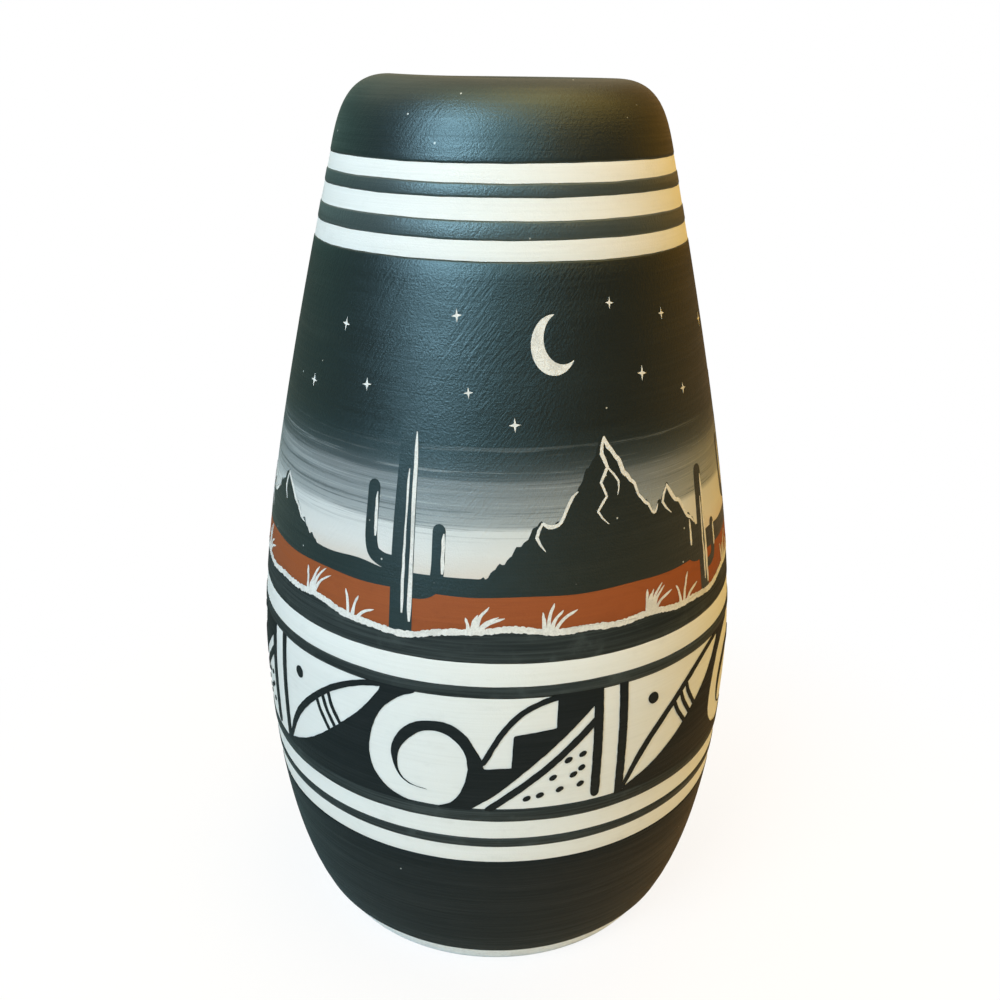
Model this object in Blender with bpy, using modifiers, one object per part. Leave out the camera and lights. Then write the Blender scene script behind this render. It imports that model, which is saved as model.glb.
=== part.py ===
"""Bud vase: a hollow turned clay body with a turned-in lip, a glaze lining and bands of coloured slip.

Every piece is a solid of revolution about the Z axis. The clay body stands on its foot ring at Z = 0.
The coats of slip and glaze are thin shells that follow the clay, each laid on in its own step.
"""

import math

import bpy
from mathutils import Vector
from mathutils.geometry import interpolate_bezier

MM = 0.001

# Outside of the clay: foot, belly, shoulder and lip, from the bottom up
BODY_HEIGHT = 167.3 * MM
FOOT_RADIUS = 37.25 * MM
BELLY_RADIUS = 48.4 * MM
BELLY_HEIGHT = 58.2 * MM
SHOULDER_RADIUS = 30.8 * MM
SHOULDER_DROP = 11.6 * MM  # below the top of the lip
LIP_RADIUS = 20.2 * MM  # of the ring along the top of the lip
FOOT_FLARE = math.radians(38.3)  # lean of the wall where it leaves the foot, from upright
SHOULDER_LEAN = math.radians(13.7)  # lean of the wall at the shoulder, from upright

# How full each curve of the outline is: the length of its Bezier handle as a share of the span it crosses
FOOT_FULLNESS = 0.207
UNDER_BELLY_FULLNESS = 0.42
OVER_BELLY_FULLNESS = 0.26
UNDER_SHOULDER_FULLNESS = 0.25
SHOULDER_FULLNESS = 0.53
LIP_FULLNESS = 0.7
ROUND_SHARE = 0.55  # the share that makes a quarter round

# Clay thickness, floor and foot
WALL = 4.6 * MM
FLOOR = 6.5 * MM  # from the table to the inside of the floor
FLOOR_FILLET = 11.0 * MM  # round between the inner wall and the floor
FOOT_RING_WIDTH = 5.5 * MM
FOOT_RECESS = 2.0 * MM
FOOT_EDGE = 0.3 * MM  # bevel on both edges of the foot ring

# Coats
SLIP = 0.25 * MM
LINE_SLIP = 0.2 * MM  # of the dark lines laid over white slip
GLAZE = 0.4 * MM
SEAT_GAP = 0.05 * MM  # between a coat and what it lies on
BAND_GAP = 0.2 * MM  # between the edges of neighbouring bands

# Bands below the lip, from the top down
RIM_BAND_DROP = 12.2 * MM  # from the top of the clay to the first white stripe
WHITE_STRIPE_1 = 2.9 * MM
NECK_LINE_1 = 2.3 * MM
WHITE_STRIPE_2 = 3.4 * MM
NECK_LINE_2 = 3.0 * MM
WHITE_STRIPE_3 = 3.1 * MM

# Bands above the foot, from the bottom up
BARE_FOOT = 4.7 * MM
BASE_BAND = 27.8 * MM
WHITE_HOOP_1 = 3.7 * MM
HOOP_LINE = 2.1 * MM
WHITE_HOOP_2 = 4.0 * MM
FRIEZE_BAND = 28.0 * MM
WHITE_HOOP_3 = 4.3 * MM
GROUND_BAND = 4.2 * MM
RUST_BAND = 7.8 * MM

# Facets
SEGMENTS = 40  # round the axis
LONGEST_FACET = 9.5 * MM  # up the wall
LIP_FACETS = 6  # along the roll from the rim band's lower edge to the top of the lip
CURVE_FACETS = 4  # along each tight curve: lip nose, inside of the shoulder, floor fillet
CURVE_SAMPLES = 160  # points that a smooth outline is measured on

# Finishes: base colour, roughness
CLAY_FINISH = ((0.72, 0.70, 0.66), 0.85)
GLAZE_FINISH = ((0.78, 0.76, 0.70), 0.18)
BLACK_FINISH = ((0.022, 0.024, 0.026), 0.5)
WHITE_FINISH = ((0.80, 0.78, 0.70), 0.7)
RUST_FINISH = ((0.30, 0.075, 0.025), 0.6)


def clear_scene():
    for old in list(bpy.data.objects):
        bpy.data.objects.remove(old)


def finish(name, colour, roughness):
    """A plain Principled material."""
    material = bpy.data.materials.new(name)
    material.use_nodes = True
    shader = material.node_tree.nodes["Principled BSDF"]
    shader.inputs["Base Color"].default_value = (*colour, 1.0)
    shader.inputs["Roughness"].default_value = roughness
    shader.inputs["Metallic"].default_value = 0.0
    material.diffuse_color = (*colour, 1.0)
    return material


def curve(start, start_pull, end_pull, end):
    """Points of one Bezier stretch of an outline. A point is (radius, height)."""
    corners = [Vector((*point, 0.0)) for point in (start, start_pull, end_pull, end)]
    return [(p.x, p.y) for p in interpolate_bezier(*corners, CURVE_SAMPLES)]


def outer_wall():
    """The clay's outside from the foot up to the top of the lip, as closely spaced points."""
    top = BODY_HEIGHT
    shoulder_height = BODY_HEIGHT - SHOULDER_DROP
    neck_span = shoulder_height - BELLY_HEIGHT
    foot_pull = FOOT_FULLNESS * BELLY_HEIGHT
    under_shoulder = UNDER_SHOULDER_FULLNESS * neck_span
    over_shoulder = SHOULDER_FULLNESS * SHOULDER_DROP
    lean = (-math.sin(SHOULDER_LEAN), math.cos(SHOULDER_LEAN))
    lower = curve(
        (FOOT_RADIUS, 0.0),
        (FOOT_RADIUS + foot_pull * math.sin(FOOT_FLARE), foot_pull * math.cos(FOOT_FLARE)),
        (BELLY_RADIUS, BELLY_HEIGHT * (1 - UNDER_BELLY_FULLNESS)),
        (BELLY_RADIUS, BELLY_HEIGHT),
    )
    upper = curve(
        (BELLY_RADIUS, BELLY_HEIGHT),
        (BELLY_RADIUS, BELLY_HEIGHT + OVER_BELLY_FULLNESS * neck_span),
        (SHOULDER_RADIUS - lean[0] * under_shoulder, shoulder_height - lean[1] * under_shoulder),
        (SHOULDER_RADIUS, shoulder_height),
    )
    roll = curve(
        (SHOULDER_RADIUS, shoulder_height),
        (SHOULDER_RADIUS + lean[0] * over_shoulder, shoulder_height + lean[1] * over_shoulder),
        (LIP_RADIUS + LIP_FULLNESS * (SHOULDER_RADIUS - LIP_RADIUS), top),
        (LIP_RADIUS, top),
    )
    return lower + upper[1:] + roll[1:]


def offset(points, distance):
    """The points moved along the outline's normal: away from the clay, where a rising outside is given."""
    moved = []
    for index, (radius, height) in enumerate(points):
        before = Vector(points[max(index - 1, 0)])
        after = Vector(points[min(index + 1, len(points) - 1)])
        along = (after - before).normalized()
        moved.append((radius + along.y * distance, height - along.x * distance))
    return moved


def at_height(points, height):
    """The point of a rising outline at this height."""
    for (r0, z0), (r1, z1) in zip(points, points[1:]):
        if z0 <= height <= z1:
            share = (height - z0) / (z1 - z0)
            return (r0 + share * (r1 - r0), height)
    raise ValueError(f"the outline has no point at height {height / MM:.2f} mm")


def steps(low, high):
    """Heights from low to high, no further apart than a facet may be."""
    count = max(1, math.ceil((high - low) / LONGEST_FACET))
    return [low + (high - low) * i / count for i in range(count + 1)]


def spread(points, count):
    """This many facets' points, spread evenly by length along an outline."""
    lengths = [0.0]
    for first, second in zip(points, points[1:]):
        lengths.append(lengths[-1] + (Vector(second) - Vector(first)).length)
    picked = []
    index = 0
    for i in range(count + 1):
        wanted = lengths[-1] * i / count
        while index < len(points) - 2 and lengths[index + 1] < wanted:
            index += 1
        share = (wanted - lengths[index]) / (lengths[index + 1] - lengths[index])
        picked.append(tuple(Vector(points[index]).lerp(Vector(points[index + 1]), share)))
    return picked


def band_edges():
    """Where each band starts and ends on the wall, as {name: (low, high)} heights."""
    edges = {}
    height = BARE_FOOT
    for name, width in (
        ("base_band", BASE_BAND),
        ("white_hoop_1", WHITE_HOOP_1),
        ("hoop_line", HOOP_LINE),
        ("white_hoop_2", WHITE_HOOP_2),
        ("frieze_band", FRIEZE_BAND),
        ("white_hoop_3", WHITE_HOOP_3),
        ("ground_band", GROUND_BAND),
        ("rust_band", RUST_BAND),
    ):
        edges[name] = (height, height + width)
        height += width
    sky_low = height
    height = BODY_HEIGHT - RIM_BAND_DROP
    rim_low = height
    for name, width in (
        ("white_stripe_1", WHITE_STRIPE_1),
        ("neck_line_1", NECK_LINE_1),
        ("white_stripe_2", WHITE_STRIPE_2),
        ("neck_line_2", NECK_LINE_2),
        ("white_stripe_3", WHITE_STRIPE_3),
    ):
        edges[name] = (height - width, height)
        height -= width
    edges["sky_band"] = (sky_low, height)
    edges["rim_band"] = (rim_low, BODY_HEIGHT)
    edges["belly_white"] = (edges["white_hoop_1"][0], edges["white_hoop_3"][1])
    edges["neck_white"] = (edges["white_stripe_3"][0], edges["white_stripe_1"][1])
    return edges


def wall_heights(edges):
    """Every height where the clay and its coats share a ring of corners, from the foot to the rim band."""
    rings = {BARE_FOOT}
    for name, (low, high) in edges.items():
        if name not in ("rim_band", "belly_white", "neck_white"):
            rings.update(steps(low, high))
    rings.add(edges["rim_band"][0])
    return sorted(rings)


def lip_roll(wall, rim_low):
    """Facet points of the outside from the rim band's lower edge to the top of the lip."""
    rising = [at_height(wall, rim_low)] + [p for p in wall if p[1] > rim_low]
    return spread(rising, LIP_FACETS)


def lip_nose():
    """The half round that ends the wall, from the top of the lip to its underside."""
    radius = WALL / 2
    middle = (LIP_RADIUS, BODY_HEIGHT - radius)
    turns = [math.pi / 2 + math.pi * i / CURVE_FACETS for i in range(CURVE_FACETS + 1)]
    return [(middle[0] + radius * math.cos(a), middle[1] + radius * math.sin(a)) for a in turns]


def inner_wall(wall):
    """Facet points of the clay's inside, from under the lip down to the middle of the floor."""
    inside = offset(wall, -WALL)
    bend_height = FLOOR + FLOOR_FILLET
    bend = at_height(inside, bend_height)
    falling = [p for p in reversed(inside) if p[1] > bend_height] + [bend]
    shoulder = [p for p in falling if p[1] > BODY_HEIGHT - SHOULDER_DROP - WALL]
    barrel = falling[len(shoulder) - 1 :]
    barrel_facets = math.ceil((barrel[0][1] - barrel[-1][1]) / (2 * LONGEST_FACET))
    corner = Vector(at_height(inside, FLOOR))
    floor_edge = (corner.x - FLOOR_FILLET, FLOOR)
    bend_pull = Vector(bend).lerp(corner, ROUND_SHARE)
    floor_pull = Vector(floor_edge).lerp(corner, ROUND_SHARE)
    fillet = curve(bend, bend_pull, floor_pull, floor_edge)
    points = spread(shoulder, CURVE_FACETS) + spread(barrel, barrel_facets)[1:]
    return points + spread(fillet, CURVE_FACETS)[1:] + [(0.0, FLOOR)]


def foot(wall):
    """The clay below the slip: its bare edge, the foot ring and the hollow under the floor, to the axis."""
    ring_inside = FOOT_RADIUS - FOOT_RING_WIDTH
    return [
        at_height(wall, FOOT_EDGE),
        (FOOT_RADIUS - FOOT_EDGE, 0.0),
        (ring_inside + FOOT_EDGE, 0.0),
        (ring_inside, FOOT_EDGE),
        (ring_inside - FOOT_EDGE, FOOT_RECESS),
        (0.0, FOOT_RECESS),
    ]


def lathe(name, points, material, closed, collection, parent):
    """Turns an outline about Z. A closed outline makes a ring, and an open one ends on the axis."""
    mesh = bpy.data.meshes.new(name)
    joins = [(i, i + 1) for i in range(len(points) - 1)]
    if closed:
        joins.append((len(points) - 1, 0))
    mesh.from_pydata([(radius, 0.0, height) for radius, height in points], joins, [])
    piece = bpy.data.objects.new(name, mesh)
    collection.objects.link(piece)
    piece.parent = parent
    screw = piece.modifiers.new("turn", "SCREW")
    screw.axis = "Z"
    screw.angle = 2 * math.pi
    screw.steps = SEGMENTS
    screw.render_steps = SEGMENTS
    screw.use_merge_vertices = True
    screw.merge_threshold = 0.01 * MM
    screw.use_smooth_shade = True
    mesh.materials.append(material)
    return piece


def coat(path, seat, thickness):
    """Outline of a shell over a path that falls along the outside: down its face, then up its back."""
    rising = list(reversed(path))
    face = offset(rising, seat + thickness)
    back = offset(rising, seat)
    return list(reversed(face)) + back


def band_path(wall, heights, low, high):
    """A band's run down the wall, cut short of its neighbours by half the gap at each end."""
    top = high - BAND_GAP / 2
    bottom = low + BAND_GAP / 2
    between = [h for h in heights if bottom < h < top]
    return [at_height(wall, h) for h in [top, *reversed(between), bottom]]


def build():
    clear_scene()
    collection = bpy.data.collections.new("bud_vase")
    bpy.context.scene.collection.children.link(collection)
    stand = bpy.data.objects.new("vase_axis", None)
    collection.objects.link(stand)

    clay = finish("fired_clay", *CLAY_FINISH)
    glaze = finish("liner_glaze", *GLAZE_FINISH)
    black = finish("black_slip", *BLACK_FINISH)
    white = finish("white_slip", *WHITE_FINISH)
    rust = finish("rust_slip", *RUST_FINISH)

    wall = outer_wall()
    edges = band_edges()
    heights = wall_heights(edges)
    inside = inner_wall(wall)
    roll = lip_roll(wall, edges["rim_band"][0])
    nose = lip_nose()

    # Clay body: up the inside from the floor, over the lip, down the outside and under the foot
    outside = [at_height(wall, h) for h in reversed(heights[:-1])]
    lip = list(reversed(inside)) + list(reversed(nose))[1:-1] + list(reversed(roll))
    lathe("clay_body", lip + outside + foot(wall), clay, False, collection, stand)

    # Glaze lining: a thin cup inside the clay, open at the mouth
    rising_inside = list(reversed(inside))
    face = offset(rising_inside, -(SEAT_GAP + GLAZE))
    back = offset(rising_inside, -SEAT_GAP)
    face[0] = (0.0, face[0][1])
    back[0] = (0.0, back[0][1])
    lathe("liner_glaze", face + list(reversed(back)), glaze, False, collection, stand)

    # Rim band: from inside the mouth over the lip and down to the first white stripe
    rim_path = list(reversed(nose))[1:] + list(reversed(roll))[1:-1]
    rim_path.append(at_height(wall, edges["rim_band"][0] + BAND_GAP / 2))
    lathe("rim_band", coat(rim_path, SEAT_GAP, SLIP), black, True, collection, stand)

    # Bands laid on the clay
    on_clay = (
        ("neck_white", white),
        ("sky_band", black),
        ("rust_band", rust),
        ("ground_band", black),
        ("belly_white", white),
        ("base_band", black),
    )
    for name, material in on_clay:
        path = band_path(wall, heights, *edges[name])
        lathe(name, coat(path, SEAT_GAP, SLIP), material, True, collection, stand)

    # Dark bands laid over the white slip
    over_white = SEAT_GAP + SLIP + SEAT_GAP
    for name in ("neck_line_1", "neck_line_2", "frieze_band", "hoop_line"):
        path = band_path(wall, heights, *edges[name])
        lathe(name, coat(path, over_white, LINE_SLIP), black, True, collection, stand)


build()
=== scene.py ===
# %% [markdown]
# A bud vase of turned clay, banded with black, white and rust slip, with a painted frieze round its belly
# and a night scene scratched through the black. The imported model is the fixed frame. Its solids say where
# the clay and each coat are, and this lesson dresses them with hand-brushed edges, strokes and finishes.

# %% Load the frame
import math

import bmesh
import bpy
import numpy as np
from mathutils import Matrix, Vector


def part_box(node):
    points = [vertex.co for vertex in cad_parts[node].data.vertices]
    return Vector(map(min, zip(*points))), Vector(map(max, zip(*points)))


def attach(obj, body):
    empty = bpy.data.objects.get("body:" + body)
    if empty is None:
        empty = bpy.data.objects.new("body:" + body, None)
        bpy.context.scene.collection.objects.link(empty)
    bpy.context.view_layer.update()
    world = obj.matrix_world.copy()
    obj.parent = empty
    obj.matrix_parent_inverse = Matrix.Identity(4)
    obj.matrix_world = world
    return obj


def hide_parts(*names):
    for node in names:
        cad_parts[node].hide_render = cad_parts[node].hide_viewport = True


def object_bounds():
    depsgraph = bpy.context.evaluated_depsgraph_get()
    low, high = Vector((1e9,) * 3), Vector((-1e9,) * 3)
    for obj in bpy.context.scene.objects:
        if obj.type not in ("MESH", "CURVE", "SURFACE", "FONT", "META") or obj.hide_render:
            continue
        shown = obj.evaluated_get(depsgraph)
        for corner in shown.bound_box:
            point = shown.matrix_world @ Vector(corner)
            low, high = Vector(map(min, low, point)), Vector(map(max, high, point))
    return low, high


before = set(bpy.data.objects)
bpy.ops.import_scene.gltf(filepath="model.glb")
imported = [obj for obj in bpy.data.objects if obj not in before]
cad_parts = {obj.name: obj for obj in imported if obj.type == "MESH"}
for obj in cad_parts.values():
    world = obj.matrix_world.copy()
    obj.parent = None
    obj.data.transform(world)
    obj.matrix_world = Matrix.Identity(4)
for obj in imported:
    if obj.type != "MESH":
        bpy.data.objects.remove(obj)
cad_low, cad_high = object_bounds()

MM = 0.001
print("frame nodes:", len(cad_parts), "height", round((cad_high[2] - cad_low[2]) / MM, 1), "mm")

# %% [markdown]
# The outline comes first, because everything painted has to lie on it. A potter would check it with a
# template: foot, belly, shoulder and lip. The frame's solids are faceted, so three Bezier stretches give the
# same outline as a smooth curve. Their end points are sizes one can measure on the pot, in millimetres.

# %% The outline of the finished pot
TOP = cad_high[2] / MM
FOOT_RADIUS = 37.6
BELLY_RADIUS = 48.7
BELLY_HEIGHT = 58.2
SHOULDER_RADIUS = 31.1
SHOULDER_HEIGHT = TOP - 11.6
LIP_RADIUS = 20.4
FOOT_FLARE = math.radians(38.3)
SHOULDER_LEAN = math.radians(13.7)
CLAY_DEPTH = 0.3  # how far the clay lies below the finished coats
SKIN_STEP = 6  # a mesh takes every sixth point of the outline


def on_circle(turns):
    """Points of a circle of radius 1 at angles in radians."""
    return np.stack([np.cos(turns), np.sin(turns)], axis=1)


def bezier(start, start_pull, end_pull, end, count=200):
    t = np.linspace(0.0, 1.0, count)[:, None]
    corners = [np.array(p, dtype=float) for p in (start, start_pull, end_pull, end)]
    weights = ((1 - t) ** 3, 3 * t * (1 - t) ** 2, 3 * t**2 * (1 - t), t**3)
    return sum(w * c for w, c in zip(weights, corners))


FOOT_PULL = 12.0
UNDER_BELLY_PULL = 24.4
OVER_BELLY_PULL = 25.3
SHOULDER_PULL = 24.6
LIP_PULL = 6.1
LIP_TOP_PULL = 7.5
lean = np.array([-math.sin(SHOULDER_LEAN), math.cos(SHOULDER_LEAN)])
shoulder = np.array([SHOULDER_RADIUS, SHOULDER_HEIGHT])
outline = np.vstack([
    bezier(
        (FOOT_RADIUS, 0.0),
        (FOOT_RADIUS + FOOT_PULL * math.sin(FOOT_FLARE), FOOT_PULL * math.cos(FOOT_FLARE)),
        (BELLY_RADIUS, BELLY_HEIGHT - UNDER_BELLY_PULL),
        (BELLY_RADIUS, BELLY_HEIGHT),
    ),
    bezier(
        (BELLY_RADIUS, BELLY_HEIGHT),
        (BELLY_RADIUS, BELLY_HEIGHT + OVER_BELLY_PULL),
        shoulder - lean * SHOULDER_PULL,
        shoulder,
    )[1:],
    bezier(shoulder, shoulder + lean * LIP_PULL, (LIP_RADIUS + LIP_TOP_PULL, TOP), (LIP_RADIUS, TOP))[1:],
])
along = np.gradient(outline, axis=0)
along /= np.linalg.norm(along, axis=1)[:, None]
normals = np.stack([along[:, 1], -along[:, 0]], axis=1)
print("outline points:", len(outline), "widest", round(2 * outline[:, 0].max(), 1), "mm")

# %% [markdown]
# Paint is laid out flat, as on a sheet wrapped round the pot: across in millimetres along a girth of fixed
# radius, up in millimetres above the table. One function puts any point of the sheet on the wall, and lifts
# it along the wall's normal, so a stroke can be drawn in two dimensions and still hug the pot.

# %% From the flat sheet to the wall
SHEET_RADIUS = 47.0
GIRTH = 2 * math.pi * SHEET_RADIUS


def on_wall(across, up, lift):
    """Positions in metres, and wall normals, of points of the flat sheet. Across 0 faces the viewer."""
    angle = np.asarray(across, dtype=float) / SHEET_RADIUS
    up = np.asarray(up, dtype=float)
    heights = outline[:, 1]
    normal_out = np.interp(up, heights, normals[:, 0])
    normal_up = np.interp(up, heights, normals[:, 1])
    radius = np.interp(up, heights, outline[:, 0]) + normal_out * lift
    height = up + normal_up * lift
    turned = np.stack([np.sin(angle), -np.cos(angle)], axis=-1)
    points = np.concatenate([turned * radius[..., None], height[..., None]], axis=-1) * MM
    facing = np.concatenate([turned * normal_out[..., None], normal_up[..., None]], axis=-1)
    return points, facing


print("front of the belly:", on_wall(0.0, BELLY_HEIGHT, 0.0)[0].round(4).tolist())

# %% [markdown]
# Finishes are node trees. Each is written by naming a node and what goes into its sockets. Slip was brushed
# on while the pot turned on a wheel, so its streaks run level: noise that is stretched round the girth gives
# them. The same streaks drive colour, gloss and a low bump.

# %% Helpers for finishes
MIX_FACTOR, MIX_FIRST, MIX_SECOND = 0, 6, 7  # places of a Mix node's colour sockets
MIX_RESULT = 2
EVEN = (1.0, 1.0, 1.0)  # noise that is not drawn out
FINE_STREAK = (50.0, 50.0, 1.0)  # noise drawn out round the pot
BROAD_STREAK = (33.0, 33.0, 2.0)
BUMP_DEPTH = 0.2 * MM


def plug(tree, socket, value):
    """Links another node's output to a socket, or sets a constant there. Colours are opaque."""
    if isinstance(value, bpy.types.NodeSocket):
        tree.links.new(value, socket)
    elif socket.type == "RGBA":
        socket.default_value = (*value, 1.0)
    else:
        socket.default_value = value


def feed(tree, made, **inputs):
    """Plugs values into a node's sockets by name."""
    for key, value in inputs.items():
        plug(tree, made.inputs[key.replace("_", " ")], value)


def node(tree, kind, settings=None, **inputs):
    """Adds a node with its settings and its inputs."""
    made = tree.nodes.new(kind)
    for key, value in (settings or {}).items():
        setattr(made, key, value)
    feed(tree, made, **inputs)
    return made


def blend(tree, factor, first, second, mode="MIX"):
    """Mixes two colours."""
    made = node(tree, "ShaderNodeMix", {"data_type": "RGBA", "blend_type": mode})
    for place, value in ((MIX_FACTOR, factor), (MIX_FIRST, first), (MIX_SECOND, second)):
        plug(tree, made.inputs[place], value)
    return made.outputs[MIX_RESULT]


def span(tree, value, low, high, to_low=0.0, to_high=1.0):
    """Maps a value from one span to another, smoothly and clamped."""
    settings = {"interpolation_type": "SMOOTHSTEP", "clamp": True}
    made = node(tree, "ShaderNodeMapRange", settings, Value=value, From_Min=low, From_Max=high)
    feed(tree, made, To_Min=to_low, To_Max=to_high)
    return made.outputs["Result"]


def maths(tree, what, first, second):
    made = node(tree, "ShaderNodeMath", {"operation": what})
    for socket, value in zip(made.inputs, (first, second)):
        plug(tree, socket, value)
    return made.outputs[0]


def times(tree, first, second):
    return maths(tree, "MULTIPLY", first, second)


def new_finish(name):
    """A finish with its tree, its shader and the pot's own coordinates, in millimetres."""
    finish = bpy.data.materials.new(name)
    finish.use_nodes = True
    tree = finish.node_tree
    shader = tree.nodes["Principled BSDF"]
    place = node(tree, "ShaderNodeTexCoord").outputs["Object"]
    scaled = node(tree, "ShaderNodeVectorMath", {"operation": "SCALE"}, Vector=place, Scale=1 / MM)
    return finish, tree, shader, scaled.outputs["Vector"]


def noise(tree, place, stretch, scale, detail=3.0, roughness=0.55, turn=0.0):
    """Noise between 0 and 1, drawn out by a factor along each axis, after a turn about Y."""
    mapped = node(tree, "ShaderNodeMapping", {"vector_type": "TEXTURE"}, Vector=place, Scale=stretch)
    feed(tree, mapped, Rotation=(0.0, turn, 0.0))
    made = node(tree, "ShaderNodeTexNoise", None, Vector=mapped.outputs["Vector"], Scale=scale)
    feed(tree, made, Detail=detail, Roughness=roughness)
    return made.outputs["Fac"]


def bumped(tree, shader, height, strength):
    made = node(tree, "ShaderNodeBump", None, Height=height, Strength=strength, Distance=BUMP_DEPTH)
    feed(tree, shader, Normal=made.outputs["Normal"])


print("finish helpers ready")

# %% [markdown]
# Black slip is the main finish. It is nearly black with a cool cast. On the rim, the neck and the sky it was
# rubbed to a satin sheen, with a fine grain and faint slanting marks. Lower down it stays dry and dull, and
# single lines are thin enough to look patchy. So one recipe makes four finishes: satin, a paler satin for the
# neck, dry and thin. The few pale specks are Voronoi cells: the distance to a cell's point makes a dot, and
# the cell's random colour lets only some through.

# %% Black slip
BLACK_DARK = (0.0060, 0.0080, 0.0080)
BLACK_WORN = (0.0165, 0.0205, 0.0205)
NECK_DARK = (0.036, 0.047, 0.047)
NECK_WORN = (0.060, 0.076, 0.076)
SPECK = (0.55, 0.56, 0.53)
SHEEN_TINT = (0.64, 0.94, 0.97)
DRY_DARK = (0.0096, 0.0136, 0.0142)
DRY_WORN = (0.0165, 0.0205, 0.0218)
THIN_DARK = (0.017, 0.023, 0.023)
THIN_WORN = (0.058, 0.072, 0.070)
DRY_TINT = (0.86, 0.97, 1.0)
RUB_SLANT = math.radians(35.0)  # from upright
SLIP_IOR = 1.55
STREAK_HEIGHT = 3.0  # how much higher the wheel streaks stand than the fine grain
FINE_SHARE = 0.65  # the fine streaks' part in all streaks
GLOSS_SWING = 0.06  # how far a streak makes the slip rougher or smoother
TOOTH = 2.3  # how much stronger the coarse grain is than the fine one
TOOTH_LEAST = 0.3  # what stays of it where the slip is smoothest
RUB_STREAK = (1.0, 1.0, 26.0)
GRAIN_SCALE, TOOTH_SCALE, PATCH_SCALE, RUB_SCALE, SPECK_SCALE = 4.5, 2.7, 0.06, 2.2, 0.45
SLIP_BUMP = 0.14


def pale_specks(tree, place, share, size):
    """1 inside a few small dots, else 0."""
    cells = node(tree, "ShaderNodeTexVoronoi", {"feature": "F1"}, Vector=place, Scale=SPECK_SCALE)
    dot = span(tree, cells.outputs["Distance"], size, size * 0.6)
    picked = node(tree, "ShaderNodeSeparateColor", None, Color=cells.outputs["Color"]).outputs["Red"]
    few = maths(tree, "LESS_THAN", picked, share)
    return times(tree, dot, few)


def slip_shading(tree, shader, place, gloss, grain, rubbing):
    """Streaked gloss and a low bump of streaks, grain and rubbing marks. Returns the streaks."""
    fine = noise(tree, place, FINE_STREAK, scale=2.2, detail=4.0, roughness=0.6)
    broad = noise(tree, place, BROAD_STREAK, scale=0.5, detail=2.0)
    fine = times(tree, fine, FINE_SHARE)
    streak = maths(tree, "ADD", fine, times(tree, broad, 1 - FINE_SHARE))
    feed(tree, shader, Roughness=span(tree, streak, 0.3, 0.7, gloss + GLOSS_SWING, gloss - GLOSS_SWING))
    speckle = noise(tree, place, EVEN, GRAIN_SCALE, detail=2.0)
    height = times(tree, streak, STREAK_HEIGHT)
    height = maths(tree, "ADD", height, times(tree, speckle, grain))
    patch = noise(tree, place, EVEN, PATCH_SCALE, detail=2.0)
    tooth = noise(tree, place, EVEN, TOOTH_SCALE, detail=2.0, roughness=0.6)
    strong = grain * TOOTH
    strength = span(tree, patch, 0.62, 0.42, TOOTH_LEAST * strong, strong)
    height = maths(tree, "ADD", height, times(tree, tooth, strength))
    if rubbing:
        marks = noise(tree, place, RUB_STREAK, RUB_SCALE, detail=2.0, roughness=0.5, turn=RUB_SLANT)
        rubbed = span(tree, patch, 0.36, 0.52, 0.0, rubbing)
        height = maths(tree, "ADD", height, times(tree, marks, rubbed))
    bumped(tree, shader, height, SLIP_BUMP)
    return streak


def make_black_slip(name, dark, worn, gloss, sheen, tint, grain, rubbing, specks, patchy=0.35):
    finish, tree, shader, place = new_finish(name)
    streak = slip_shading(tree, shader, place, gloss, grain, rubbing)
    mottle = noise(tree, place, EVEN, scale=0.25, detail=4.0)
    colour = blend(tree, span(tree, streak, 0.35, 0.75), dark, worn)
    colour = blend(tree, span(tree, mottle, 0.5, 0.8, 0.0, patchy), colour, worn)
    colour = blend(tree, pale_specks(tree, place, specks, size=0.10), colour, SPECK)
    feed(tree, shader, Base_Color=colour, Specular_IOR_Level=sheen, Specular_Tint=tint, IOR=SLIP_IOR)
    return finish


black_slip = make_black_slip(
    "black_slip", BLACK_DARK, BLACK_WORN,
    gloss=0.40, sheen=1.0, tint=SHEEN_TINT, grain=2.0, rubbing=2.4, specks=0.20,
)
neck_slip = make_black_slip(
    "neck_slip", NECK_DARK, NECK_WORN,
    gloss=0.38, sheen=1.0, tint=SHEEN_TINT, grain=4.2, rubbing=6.0, specks=0.06,
)
dry = {"gloss": 0.58, "sheen": 0.13, "tint": DRY_TINT, "grain": 1.2, "rubbing": 0.0, "specks": 0.01}
dry_black_slip = make_black_slip("dry_black_slip", DRY_DARK, DRY_WORN, **dry)
thin_black_slip = make_black_slip("thin_black_slip", THIN_DARK, THIN_WORN, **dry, patchy=0.9)
print("black slip nodes:", len(black_slip.node_tree.nodes), "and dry:", len(dry_black_slip.node_tree.nodes))

# %% [markdown]
# White slip shows as stripes, hoops and the ground of the frieze. It is matte, a little creamy, with brush
# streaks and faint grey smudges where black dragged over it. Rust slip is the same recipe in an iron red.

# %% White and rust slip
WHITE = (0.83, 0.84, 0.80)
WHITE_SHADE = (0.70, 0.71, 0.67)
RUST = (0.33, 0.085, 0.024)
RUST_DARK = (0.22, 0.055, 0.018)
SMUDGE_STREAK = (2.0, 2.0, 1.0)
PLAIN_SHEEN = 0.25


def make_plain_slip(name, light, dark, gloss):
    finish, tree, shader, place = new_finish(name)
    streak = slip_shading(tree, shader, place, gloss, grain=0.8, rubbing=0.5)
    smudge = noise(tree, place, SMUDGE_STREAK, scale=0.35, detail=5.0, roughness=0.65)
    shade = times(tree, span(tree, smudge, 0.52, 0.8), 0.5)
    colour = blend(tree, span(tree, streak, 0.4, 0.75, 0.0, 0.35), light, dark)
    colour = blend(tree, shade, colour, dark)
    feed(tree, shader, Base_Color=colour, Specular_IOR_Level=PLAIN_SHEEN)
    return finish


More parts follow.
